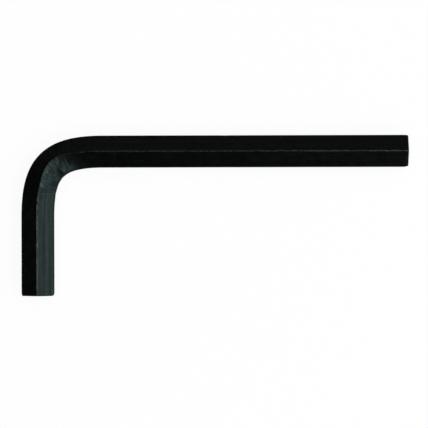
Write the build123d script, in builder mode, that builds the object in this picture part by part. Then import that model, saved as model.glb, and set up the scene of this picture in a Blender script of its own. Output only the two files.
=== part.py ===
"""L-shaped hexagon key, bent cold from one length of drawn hexagon steel bar.

The key lies flat, as it does on a bench, with two opposite flats of the bar at the inside and the
outside of the bend and a ridge of the hexagon up and another down. The long arm runs along +X, the
short arm along -Y, and +Z is up. The origin is under the middle of the key's box, on the bench.
"""

import os
from math import pi, sin, sqrt

from build123d import *

# Driving dimensions, in millimetres
across_flats = 10.0  # of the bar, and of the socket that each end fits
long_arm = 122.0  # from the outer flat of the short arm to the long arm's end face
short_arm = 50.5  # from the outer flat of the long arm to the short arm's end face
corner_radius = 0.35  # on the six drawn edges of the bar
end_radius = 0.3  # on the edges of the two cut ends

# The bend, measured from where the centre lines of the two arms would cross
bend_reach = 20.6  # to where an arm starts to curve
bend_handle = 4.8  # to the point that pulls the curve towards the crossing
bend_run_in = 1.0  # straight bar between the last two sections at each end of the bend
bend_steps = 12  # sections round the bend

# What bending does to the section, at its most in the middle of the bend
inner_spread = 0.5  # the squeezed inner flat gains this much on each side
ridge_sink = 0.4  # the ridges lose this much of their height
ridge_drift = 1.1  # the ridges move this far towards the outside of the bend
drift_delay = 1.2  # power of the share; above 1, the drift peaks past mid-bend
ridge_softening = 0.3  # added to the ridges' corner radius

# What follows from them
half_flats = across_flats / 2
half_corners = across_flats / sqrt(3)
corner_loss = corner_radius * (2 / sqrt(3) - 1)  # what rounding takes off a 120 degree corner
mid_height = half_corners - corner_loss  # of the plane that both centre lines lie in
crossing = Vector(half_flats - long_arm / 2, short_arm / 2 - half_flats, mid_height)
long_straight = long_arm - half_flats - bend_reach - bend_run_in
short_straight = short_arm - half_flats - bend_reach - bend_run_in
along_long_arm = Vector(1, 0, 0)
along_short_arm = Vector(0, -1, 0)


def bar_section(centre, direction, share):
    """The bar's section, square to direction and with x outwards, at a share of the way round the bend."""
    outward = Vector(0, 0, 1).cross(direction)
    bent = sin(pi * share) ** 2
    outer_edge = half_corners / 2
    inner_edge = half_corners / 2 + inner_spread * bent
    ridge_up = half_corners - ridge_sink * bent
    ridge_out = ridge_drift * sin(pi * share**drift_delay) ** 4
    ridge_radius = corner_radius + ridge_softening * bent
    half_radii = [corner_radius, corner_radius, ridge_radius]
    with BuildSketch(Plane(centre, x_dir=outward, z_dir=direction)) as section:
        with BuildLine():
            FilletPolyline(
                (half_flats, -outer_edge),
                (half_flats, outer_edge),
                (ridge_out, ridge_up),
                (-half_flats, inner_edge),
                (-half_flats, -inner_edge),
                (ridge_out, -ridge_up),
                radius=half_radii + half_radii,
                close=True,
            )
        make_face()
    return section.sketch


# The centre line of the bend runs from the short arm to the long one
with BuildLine() as bend_line:
    Bezier(
        crossing + along_short_arm * bend_reach,
        crossing + along_short_arm * bend_handle,
        crossing + along_long_arm * bend_handle,
        crossing + along_long_arm * bend_reach,
    )

bend_start = bend_line.line @ 0 + along_short_arm * bend_run_in
bend_end = bend_line.line @ 1 + along_long_arm * bend_run_in
sections = [bar_section(bend_start, -along_short_arm, 0)]
for step in range(bend_steps + 1):
    share = step / bend_steps
    sections.append(bar_section(bend_line.line @ share, bend_line.line % share, share))
sections.append(bar_section(bend_end, along_long_arm, 1))

with BuildPart() as hex_key:
    loft(sections)
    extrude(sections[0], amount=-short_straight)
    extrude(sections[-1], amount=long_straight)
    short_end = hex_key.faces().sort_by(Axis.Y)[0]
    long_end = hex_key.faces().sort_by(Axis.X)[-1]
    fillet(short_end.edges() + long_end.edges(), end_radius)

hex_key.part.label = "hex_key"

os.makedirs("parts", exist_ok=True)
export_step(hex_key.part, "parts/hex_key.step")
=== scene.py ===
"""A black hexagon key lying on a white bench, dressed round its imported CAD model."""
from math import atan2, cos, exp, pi, radians, sin, sqrt, tan

import bpy
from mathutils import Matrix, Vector, noise


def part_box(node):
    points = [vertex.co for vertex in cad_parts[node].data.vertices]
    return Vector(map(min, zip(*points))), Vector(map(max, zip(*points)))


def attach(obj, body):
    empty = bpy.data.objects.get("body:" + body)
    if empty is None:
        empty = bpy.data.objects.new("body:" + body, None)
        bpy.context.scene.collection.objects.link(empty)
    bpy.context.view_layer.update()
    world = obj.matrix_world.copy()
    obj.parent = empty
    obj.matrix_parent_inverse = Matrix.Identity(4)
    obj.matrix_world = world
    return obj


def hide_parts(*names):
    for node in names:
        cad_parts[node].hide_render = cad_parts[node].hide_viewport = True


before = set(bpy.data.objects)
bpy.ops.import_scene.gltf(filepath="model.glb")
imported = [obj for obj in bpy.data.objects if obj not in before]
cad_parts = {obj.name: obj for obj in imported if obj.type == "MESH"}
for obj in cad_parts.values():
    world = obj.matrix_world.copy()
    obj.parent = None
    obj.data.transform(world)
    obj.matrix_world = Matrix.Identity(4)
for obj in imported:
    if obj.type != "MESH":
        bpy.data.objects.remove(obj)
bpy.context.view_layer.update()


# --- The bent bar ---------------------------------------------------------------------------------
# The whole key: one length of hexagon steel, drawn through a die, cropped square at both ends, bent
# cold round a former and blackened. Its flats are true along the arms. In the bend the outer flat is
# stretched and narrow, the inner flat is squeezed and wide, and the skin is crazed across the bar.

across_flats = 0.010
half_flats = across_flats / 2
half_corners = across_flats / sqrt(3)
drawn_radius = 0.00035  # on the six edges that the die leaves
cropped_radius = 0.0003  # on the edges of the cut ends

bend_reach = 0.0206  # from the crossing of the two centre lines to where an arm starts to curve
bend_handle = 0.0048  # from the crossing to the point that pulls the curve towards it
inner_spread = 0.0005  # the squeezed inner flat gains this much on each side, at mid-bend
ridge_sink = 0.0004  # the ridges lose this much of their height
ridge_drift = 0.0011  # the ridges move this far outwards
drift_delay = 1.2  # power of the share of the way round; above 1, the drift peaks past mid-bend
ridge_softening = 0.0003  # added to the radius of the ridges
edge_rub = (0.2, 0.0, 1.0, 0.0, 0.2, 1.0)  # how far each edge is rubbed, the two ridges most

key_low, key_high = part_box("hex_key")
mid_height = (key_low.z + key_high.z) / 2
crossing = Vector((key_low.x + half_flats, key_high.y - half_flats, mid_height))
short_tip = Vector((crossing.x, key_low.y, mid_height))
long_tip = Vector((key_high.x, crossing.y, mid_height))
short_heading = Vector((0, 1, 0))  # the way that the bar runs, from the short arm's tip to the long arm's
long_heading = Vector((1, 0, 0))
bend_pulls = (
    crossing - short_heading * bend_reach,
    crossing - short_heading * bend_handle,
    crossing + long_heading * bend_handle,
    crossing + long_heading * bend_reach,
)

arm_ring_spacing = 0.0003
bend_rings = 150
corner_steps = 4
flat_steps = 14
cropped_steps = 4
end_face_rings = 7


def bend_place(share):
    """Where the bend's centre line is, and its heading, at a share of the way round."""
    first, second, third, last = bend_pulls
    left = 1 - share
    place = first * left**3 + second * (3 * left**2 * share) + third * (3 * left * share**2) + last * share**3
    heading = (second - first) * left**2 + (third - second) * (2 * left * share) + (last - third) * share**2
    return place, heading.normalized()


def stations():
    """The rings of the bar from tip to tip, as (centre, heading, share of the way round the bend)."""
    found = []
    short_start = short_tip + short_heading * cropped_radius
    short_rings = round((bend_pulls[0] - short_start).length / arm_ring_spacing)
    for ring in range(short_rings):
        found.append((short_start.lerp(bend_pulls[0], ring / short_rings), short_heading, 0.0))
    for ring in range(bend_rings + 1):
        share = ring / bend_rings
        found.append((*bend_place(share), share))
    long_stop = long_tip - long_heading * cropped_radius
    long_rings = round((long_stop - bend_pulls[3]).length / arm_ring_spacing)
    for ring in range(1, long_rings + 1):
        found.append((bend_pulls[3].lerp(long_stop, ring / long_rings), long_heading, 1.0))
    return found


def ridge_place(share):
    """How far outside the centre line the ridges are."""
    return ridge_drift * sin(pi * share**drift_delay) ** 4


def outline(share):
    """The bar's outline, x to the outside of the bend and y up, as (x, y, normal x, normal y, edge)."""
    bent = sin(pi * share) ** 2
    outer_edge = half_corners / 2
    inner_edge = half_corners / 2 + inner_spread * bent
    ridge_out = ridge_place(share)
    ridge_up = half_corners - ridge_sink * bent
    ridge_radius = drawn_radius + ridge_softening * bent
    corners = [
        (Vector((half_flats, -outer_edge)), drawn_radius),
        (Vector((half_flats, outer_edge)), drawn_radius),
        (Vector((ridge_out, ridge_up)), ridge_radius),
        (Vector((-half_flats, inner_edge)), drawn_radius),
        (Vector((-half_flats, -inner_edge)), drawn_radius),
        (Vector((ridge_out, -ridge_up)), ridge_radius),
    ]
    normals = []
    for number, (corner, _) in enumerate(corners):
        run = (corners[(number + 1) % 6][0] - corner).normalized()
        normals.append(Vector((run.y, -run.x)))
    arcs = []
    for number, (corner, radius) in enumerate(corners):
        before, after = normals[number - 1], normals[number]
        middle = corner - (before + after) * (radius / (1 + before.dot(after)))
        start = atan2(before.y, before.x)
        turn = (atan2(after.y, after.x) - start) % (2 * pi)
        arc = []
        for step in range(corner_steps + 1):
            angle = start + turn * step / corner_steps
            normal = Vector((cos(angle), sin(angle)))
            arc.append((middle + normal * radius, normal))
        arcs.append(arc)
    points = []
    for number, arc in enumerate(arcs):
        wear_here, wear_next = edge_rub[number], edge_rub[(number + 1) % 6]
        for place, normal in arc:
            points.append((place.x, place.y, normal.x, normal.y, wear_here))
        start, stop = arc[-1][0], arcs[(number + 1) % 6][0][0]
        for step in range(1, flat_steps):
            place = start.lerp(stop, (1 - cos(pi * step / flat_steps)) / 2)
            worn = wear_here * exp(-(place - start).length / wear_reach)
            worn += wear_next * exp(-(place - stop).length / wear_reach)
            points.append((place.x, place.y, normals[number].x, normals[number].y, worn))
    return points


# Knocks on the edges, as (distance along the bar, x side, y side, length, depth), in metres
knocks = [
    (0.0012, 0.0, 1.0, 0.0006, 0.00007),
    (0.0075, 0.0, 1.0, 0.0005, 0.00005),
    (0.0193, 0.0, 1.0, 0.0008, 0.00006),
    (0.0330, -0.87, -0.5, 0.0007, 0.00008),
    (0.0710, 0.0, 1.0, 0.0006, 0.00005),
    (0.0980, 0.87, 0.5, 0.0009, 0.00007),
    (0.1115, 0.0, -1.0, 0.0008, 0.00006),
    (0.1290, 0.0, 1.0, 0.0007, 0.00005),
    (0.1440, -0.87, 0.5, 0.0009, 0.00008),
    (0.1490, 0.0, 1.0, 0.0005, 0.00006),
]
# Chips in the oxide, as (distance along the bar, x, y, radius), in metres
chips = [
    (0.0190, -0.0044, 0.0031, 0.00035),
    (0.0016, -0.0047, 0.0030, 0.00040),
    (0.0024, -0.0040, 0.0034, 0.00025),
    (0.0008, -0.0036, 0.0037, 0.00025),
    (0.0634, -0.0009, 0.0052, 0.00030),
    (0.1561, -0.0041, 0.0033, 0.00040),
    (0.1548, -0.0034, 0.0038, 0.00025),
    (0.1500, 0.0049, -0.0029, 0.00045),
    (0.0415, 0.0049, 0.0029, 0.00030),
    (0.1120, -0.0049, -0.0026, 0.00035),
]
tip_rounding = 0.00014  # how much slimmer use has made the bar at its two tips
tip_rounding_reach = 0.0006
lump_height = 0.00062  # of the squeezed metal that stands beside the inner flat
lump_share = 0.57  # of the way round the bend, to its top
lump_rise = 0.085  # of the way round, before its top
lump_fall = 0.20  # of the way round, after it
lump_reach = 0.42  # of the way from the inner flat to the ridge, over which it dies away
crown_height = 0.00031  # of the swelling beside the ridge
crown_share = 0.30  # of the way round the bend, to its top
crown_spread = 0.17  # of the way round, to each side of its top
crown_across = 0.72  # of the way from the inner flat to the ridge, to its top
crown_width = 0.17  # of that way, to each side of its top
skin_ripple = 0.000004  # all over the bar
fine_crazing = 0.000016  # in the bend
coarse_crazing = 0.000040  # beside the inner flat of the bend
wear_reach = 0.00028  # of the rubbing beside an edge
tip_wear_reach = 0.0012  # of the rubbing along the bar from a tip


def relief(along, x, y, share):
    """How far the skin stands out from the true section, in metres."""
    height = skin_ripple * (noise.noise(Vector((along * 180, x * 500, y * 500))) - 1)
    height -= tip_rounding * exp(-((min(along, bar_length - along) / tip_rounding_reach) ** 2))
    for place, side_x, side_y, length, depth in knocks:
        off_edge = sqrt((x - side_x * half_corners) ** 2 + (y - side_y * half_corners) ** 2)
        height -= depth * exp(-(((along - place) / length) ** 2) - (off_edge / 0.0006) ** 2)
    bent = sin(pi * share) ** 2
    if bent > 0:
        # crazing runs across the bar, and is coarser where the metal is squeezed
        height += fine_crazing * bent * noise.noise(Vector((along * 2200, x * 260, y * 260)))
        inner = max(0.0, -x / half_flats)
        height += coarse_crazing * bent * inner * noise.noise(Vector((along * 900, x * 300, y * 300)))
        across = (x + half_flats) / (half_flats + ridge_place(share))  # from the inner flat to the ridge
        if 0 < across < 1:
            at_ridge = exp(-(((1 - crown_across) / crown_width) ** 2))
            crown = exp(-(((across - crown_across) / crown_width) ** 2)) - at_ridge
            along_crown = exp(-(((share - crown_share) / crown_spread) ** 2))
            height += crown_height * along_crown * max(0.0, crown)
    return height


def lift(x, y, share):
    """How much taller the squeezed metal is made at the inside of the bend, in metres."""
    if not 0 < share < 1:
        return 0.0
    across = (x + half_flats) / (half_flats + ridge_place(share))
    to_top = sqrt((share - lump_share) ** 2 + 0.0002)
    along_lump = exp(-to_top / (lump_rise if share < lump_share else lump_fall)) * sin(pi * share) ** 2
    if across <= 0.01:
        return lump_height * along_lump * y / (half_corners / 2 + inner_spread)
    return lump_height * along_lump * exp(-((across / lump_reach) ** 2)) * (1 if y > 0 else -1)


bar_points = []
bar_faces = []
drawn_place = []  # where each point was in the straight bar, before it was bent
edge_wear = []
bend_strain = []
tip_wear = []
chipped = []

rings = stations()
along = cropped_radius
ring_along = []
for number, (centre, heading, share) in enumerate(rings):
    if number:
        along += (centre - rings[number - 1][0]).length
    ring_along.append(along)
bar_length = along + cropped_radius


def add_ring(centre, heading, share, along, inset, scale):
    """One ring of points square to the bar, drawn in by inset and then towards its middle by scale."""
    outward = Vector((0, 0, 1)).cross(heading)
    bent = sin(pi * share) ** 2
    for x, y, normal_x, normal_y, edge in outline(share):
        stand = relief(along, x, y, share) - inset
        x_now = (x + normal_x * stand) * scale
        y_now = (y + normal_y * stand + lift(x, y, share)) * scale
        bar_points.append(centre + outward * x_now + Vector((0, 0, y_now)))
        drawn_place.append((along, x_now, y_now))
        edge_wear.append(edge if scale == 1 else exp(-(1 - scale) * half_flats / 0.0004))
        bend_strain.append(bent)
        to_tip = min(along, bar_length - along)
        tip_wear.append(exp(-to_tip / tip_wear_reach))
        chip = 0.0
        for chip_along, chip_x, chip_y, chip_radius in chips:
            off_chip = (along - chip_along) ** 2 + (x - chip_x) ** 2 + (y - chip_y) ** 2
            chip = max(chip, exp(-off_chip / chip_radius**2))
        chipped.append(chip)


# the short arm's end face and broken edge, then the bar, then the long arm's edge and end face
for step in range(end_face_rings):
    add_ring(short_tip, short_heading, 0.0, 0.0, cropped_radius, (step + 1) / (end_face_rings + 1))
for step in range(cropped_steps):
    lean = pi / 2 * (1 - step / cropped_steps)
    back = cropped_radius * (1 - sin(lean))
    add_ring(short_tip + short_heading * back, short_heading, 0.0, back, cropped_radius * (1 - cos(lean)), 1)
for (centre, heading, share), along in zip(rings, ring_along):
    add_ring(centre, heading, share, along, 0.0, 1)
for step in range(1, cropped_steps + 1):
    lean = pi / 2 * step / cropped_steps
    back = cropped_radius * (1 - sin(lean))
    place = long_tip - long_heading * back
    add_ring(place, long_heading, 1.0, bar_length - back, cropped_radius * (1 - cos(lean)), 1)
for step in range(end_face_rings):
    add_ring(long_tip, long_heading, 1.0, bar_length, cropped_radius, 1 - (step + 1) / (end_face_rings + 1))

ring_size = 6 * (corner_steps + flat_steps)
ring_count = len(bar_points) // ring_size
for ring in range(ring_count - 1):
    for step in range(ring_size):
        beside = (step + 1) % ring_size
        near, far = ring * ring_size, (ring + 1) * ring_size
        bar_faces.append((near + step, near + beside, far + beside, far + step))
for tip, first, turn in ((short_tip, 0, -1), (long_tip, (ring_count - 1) * ring_size, 1)):
    middle = len(bar_points)
    bar_points.append(tip)
    drawn_place.append((0.0 if turn < 0 else bar_length, 0.0, 0.0))
    edge_wear.append(0.0)
    bend_strain.append(0.0)
    tip_wear.append(1.0)
    chipped.append(0.0)
    for step in range(ring_size):
        pair = (first + step, first + (step + 1) % ring_size)
        bar_faces.append((middle, *pair[::turn]))

bar_mesh = bpy.data.meshes.new("bent_bar")
bar_mesh.from_pydata(bar_points, [], bar_faces)
bar_mesh.validate()
for polygon in bar_mesh.polygons:
    polygon.use_smooth = True
bar_mesh.attributes.new("drawn_place", "FLOAT_VECTOR", "POINT").data.foreach_set(
    "vector", [value for place in drawn_place for value in place]
)
wear = (("edge_wear", edge_wear), ("bend_strain", bend_strain), ("tip_wear", tip_wear), ("chipped", chipped))
for name, values in wear:
    bar_mesh.attributes.new(name, "FLOAT", "POINT").data.foreach_set("value", values)
bent_bar = bpy.data.objects.new("bent_bar", bar_mesh)
bpy.context.scene.collection.objects.link(bent_bar)

# The finish: black oxide over drawn steel, oiled. Die lines run along the bar, and the crazed skin of
# the bend runs across it. The oxide is rubbed through to grey in flecks on the ridges and at the tips.
oxide_black = (0.022, 0.031, 0.0335)
oxide_green = (0.0235, 0.034, 0.0315)
rubbed_steel = (0.16, 0.17, 0.165)


class Graph:
    """Adds nodes to a material or a group, with each input given as a number, a colour or a socket."""

    def __init__(self, tree):
        self.tree = tree

    def add(self, kind, inputs=(), **settings):
        node = self.tree.nodes.new(kind)
        for name, value in settings.items():
            setattr(node, name, value)
        for name, value in dict(inputs).items():
            if isinstance(value, bpy.types.NodeSocket):
                self.tree.links.new(value, node.inputs[name])
            else:
                node.inputs[name].default_value = value
        return node

    def attribute(self, name, output="Fac"):
        return self.add("ShaderNodeAttribute", attribute_name=name).outputs[output]

    def maths(self, operation, first, second):
        return self.add("ShaderNodeMath", {0: first, 1: second}, operation=operation).outputs[0]

    def stretched(self, place, stretch):
        node = self.add("ShaderNodeVectorMath", {0: place, 1: stretch}, operation="MULTIPLY")
        return node.outputs[0]

    def noise(self, place, stretch, detail=2.0, roughness=0.5):
        inputs = {"Scale": 1.0, "Detail": detail, "Roughness": roughness}
        inputs["Vector"] = self.stretched(place, stretch)
        return self.add("ShaderNodeTexNoise", inputs).outputs["Fac"]

    def between(self, value, low, high, to_low=0.0, to_high=1.0):
        inputs = {"Value": value, "From Min": low, "From Max": high, "To Min": to_low, "To Max": to_high}
        return self.add("ShaderNodeMapRange", inputs).outputs[0]

    def mix(self, share, first, second):
        node = self.add("ShaderNodeMix", {0: share}, data_type="RGBA")
        for socket, value in ((node.inputs[6], first), (node.inputs[7], second)):
            if isinstance(value, bpy.types.NodeSocket):
                self.tree.links.new(value, socket)
            else:
                socket.default_value = (*value, 1)
        return node.outputs[2]


black_oxide = bpy.data.materials.new("black_oxide")
black_oxide.use_nodes = True
oxide = Graph(black_oxide.node_tree)
skin = black_oxide.node_tree.nodes["Principled BSDF"]
in_bar = oxide.attribute("drawn_place", "Vector")
edge = oxide.attribute("edge_wear")
strain = oxide.attribute("bend_strain")
tip = oxide.attribute("tip_wear")
chip = oxide.attribute("chipped")

die_lines = oxide.noise(in_bar, (22, 2600, 2600), 3.0, 0.6)
fine_lines = oxide.noise(in_bar, (90, 9000, 9000), 2.0)
mottle = oxide.noise(in_bar, (420, 520, 520), 4.0, 0.6)
cloud = oxide.noise(in_bar, (16, 420, 420), 2.0)
crazing = oxide.noise(in_bar, (2600, 330, 330), 3.0, 0.65)

coarse_part = oxide.maths("MULTIPLY", die_lines, 0.65)
fine_part = oxide.maths("MULTIPLY", fine_lines, 0.35)
lines = oxide.maths("ADD", coarse_part, fine_part)
crazed = oxide.between(strain, 0.05, 0.5, 0.0, 0.85)
drawn_part = oxide.maths("MULTIPLY", lines, oxide.maths("SUBTRACT", 1.0, crazed))
crazed_part = oxide.maths("MULTIPLY", oxide.between(crazing, 0.35, 0.65, 0.22, 0.78), crazed)
grain = oxide.maths("ADD", drawn_part, crazed_part)
shade = oxide.between(grain, 0.3, 0.7, 0.58, 1.50)
base = oxide.mix(oxide.between(cloud, 0.35, 0.65), oxide_black, oxide_green)
shaded = oxide.add("ShaderNodeVectorMath", {0: base}, operation="SCALE")
black_oxide.node_tree.links.new(shade, shaded.inputs["Scale"])

flecks = oxide.noise(in_bar, (700, 2600, 2600), 3.0, 0.7)
kept = oxide.between(strain, 0, 0.6, 0.29, 0.12)
rub = oxide.maths("ADD", oxide.maths("MULTIPLY", edge, kept), oxide.maths("MULTIPLY", tip, 0.03))
rub = oxide.maths("ADD", rub, oxide.maths("MULTIPLY", chip, 0.30))
rubbed = oxide.between(oxide.maths("ADD", flecks, rub), 0.70, 0.82, 0.0, 0.5)
rubbed = oxide.maths("MULTIPLY", rubbed, oxide.between(rub, 0.0, 0.06))
colour = oxide.mix(rubbed, shaded.outputs[0], rubbed_steel)
smoother_grain = oxide.between(grain, 0.3, 0.7, 0.37, 0.27)
rough = oxide.maths("ADD", smoother_grain, oxide.between(mottle, 0.3, 0.7, -0.05, 0.05))

# the powdery skin doesn't mirror at a glance
glance = oxide.add("ShaderNodeLayerWeight", {"Blend": 0.5}).outputs["Facing"]
black_oxide.node_tree.links.new(oxide.between(glance, 0.60, 0.85, 1.0, 0.06), skin.inputs["Metallic"])
skin.inputs["Specular IOR Level"].default_value = 0.0
skin.inputs["Specular Tint"].default_value = (0.1, 0.12, 0.12, 1)
black_oxide.node_tree.links.new(colour, skin.inputs["Base Color"])
black_oxide.node_tree.links.new(rough, skin.inputs["Roughness"])
height = oxide.maths("ADD", oxide.maths("MULTIPLY", grain, 0.8), oxide.maths("MULTIPLY", mottle, 0.10))
height = oxide.maths("SUBTRACT", height, oxide.maths("MULTIPLY", chip, 3.0))
bump = oxide.add("ShaderNodeBump", {"Height": height, "Strength": 0.35, "Distance": 0.00002})
black_oxide.node_tree.links.new(bump.outputs["Normal"], skin.inputs["Normal"])

bar_mesh.materials.append(black_oxide)
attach(bent_bar, "root")
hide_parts("hex_key")


# --- The bench ------------------------------------------------------------------------------------
# A broad white sweep of board: flat under the key, and turned up at its far rim so that it fills the
# background from a low angle. It shows nearly white, and takes a soft shadow under the key.

bench_radius = 3.2
bench_flat = 2.2
bench_rim = 0.55
bench_spokes = 96
bench_glow = 0.92  # of the white that the bench shows by itself, so the rest can fall into shadow

bench_points = [(0.0, 0.0, 0.0)]
bench_faces = []
bench_hoops = [(bench_flat * share, 0.0) for share in (0.1, 0.3, 0.6, 1.0)]
for step in range(1, 13):
    lean = pi / 2 * step / 12
    bench_hoops.append((bench_flat + (bench_radius - bench_flat) * sin(lean), bench_rim * (1 - cos(lean))))
for radius, height in bench_hoops:
    for spoke in range(bench_spokes):
        angle = 2 * pi * spoke / bench_spokes
        bench_points.append((radius * cos(angle), radius * sin(angle), height))
for spoke in range(bench_spokes):
    beside = (spoke + 1) % bench_spokes
    bench_faces.append((0, 1 + spoke, 1 + beside))
    for hoop in range(len(bench_hoops) - 1):
        near, far = 1 + hoop * bench_spokes, 1 + (hoop + 1) * bench_spokes
        bench_faces.append((near + spoke, far + spoke, far + beside, near + beside))
bench_mesh = bpy.data.meshes.new("bench")
bench_mesh.from_pydata(bench_points, [], bench_faces)
for polygon in bench_mesh.polygons:
    polygon.use_smooth = True
bench = bpy.data.objects.new("bench", bench_mesh)
bpy.context.scene.collection.objects.link(bench)

white_board = bpy.data.materials.new("white_board")
white_board.use_nodes = True
board = Graph(white_board.node_tree)
paper = white_board.node_tree.nodes["Principled BSDF"]
paper.inputs["Base Color"].default_value = (0.8, 0.8, 0.8, 1)
paper.inputs["Roughness"].default_value = 0.9
paper.inputs["Specular IOR Level"].default_value = 0.0
ray = board.add("ShaderNodeLightPath")
seen = board.maths("MAXIMUM", ray.outputs["Is Camera Ray"], ray.outputs["Is Glossy Ray"])
seen = board.maths("MAXIMUM", seen, ray.outputs["Is Transmission Ray"])
glow = board.add("ShaderNodeEmission", {"Color": (1, 1, 1, 1), "Strength": 1.0})
blend = board.add("ShaderNodeMixShader", {0: board.maths("MULTIPLY", seen, bench_glow)})
white_board.node_tree.links.new(paper.outputs["BSDF"], blend.inputs[1])
white_board.node_tree.links.new(glow.outputs["Emission"], blend.inputs[2])
shown = white_board.node_tree.nodes["Material Output"]
white_board.node_tree.links.new(blend.outputs["Shader"], shown.inputs["Surface"])
bench_mesh.materials.append(white_board)


# --- The light ------------------------------------------------------------------------------------
# A studio with dark walls, because a black key shows only what it mirrors. A soft box low on the right
# lights the short arm, an upper one and two cards light the bend, and dim ones light the long arm.

key_middle = (key_low + key_high) / 2


def soft_box(name, azimuth, elevation, distance, width, height, brightness, tint):
    """A lamp that faces the key; azimuth counts from +X towards +Y, and brightness is what a mirror shows."""
    lamp = bpy.data.lights.new(name, "AREA")
    lamp.shape = "RECTANGLE"
    lamp.size = width
    lamp.size_y = height
    lamp.energy = brightness * pi * width * height
    lamp.color = tint
    box = bpy.data.objects.new(name, lamp)
    level = cos(radians(elevation))
    way = Vector((level * cos(radians(azimuth)), level * sin(radians(azimuth)), sin(radians(elevation))))
    box.location = key_middle + way * distance
    box.rotation_euler = way.to_track_quat("Z", "Y").to_euler()
    box.visible_camera = False
    bpy.context.scene.collection.objects.link(box)
    return box


soft_box("side_box", -12, 34, 1.2, 1.35, 0.65, 1.36, (0.97, 1.0, 1.0))
soft_box("front_card", -66, 44, 1.3, 0.60, 0.50, 0.24, (1.0, 0.86, 0.66))
soft_box("upper_box", -4, 69, 1.3, 0.60, 0.34, 2.8, (0.95, 1.0, 1.03))
soft_box("gleam_card", -62, 58, 1.3, 0.36, 0.36, 1.8, (0.95, 1.0, 1.03))
soft_box("top_box", 0, 90, 1.6, 1.0, 1.0, 0.4, (1.0, 0.98, 0.94))
soft_box("back_card", 80, 32, 1.6, 1.6, 0.8, 0.12, (1.0, 0.84, 0.66))

soft_box("room_fill", 0, 80, 2.2, 3.0, 3.0, 2.3, (1.0, 1.0, 1.0)).visible_glossy = False

studio = bpy.data.worlds.new("studio")
studio.use_nodes = True
studio.node_tree.nodes["Background"].inputs["Color"].default_value = (0.030, 0.020, 0.011, 1)
studio.node_tree.nodes["Background"].inputs["Strength"].default_value = 1.0
bpy.context.scene.world = studio


# --- The camera -----------------------------------------------------------------------------------
# Straight above the key, far enough back that its sides hardly show.

camera_height = 0.703  # above the middle of the key
field_of_view = 11.0
camera = bpy.data.objects.new("camera", bpy.data.cameras.new("camera"))
camera.location = key_middle + Vector((-0.0003, 0.00045, camera_height))
camera.rotation_euler = (0, 0, radians(-0.15))
camera.data.sensor_width = 36
camera.data.lens = camera.data.sensor_width / 2 / tan(radians(field_of_view / 2))
bpy.context.scene.collection.objects.link(camera)
bpy.context.scene.camera = camera
bpy.context.scene.view_settings.view_transform = "Standard"
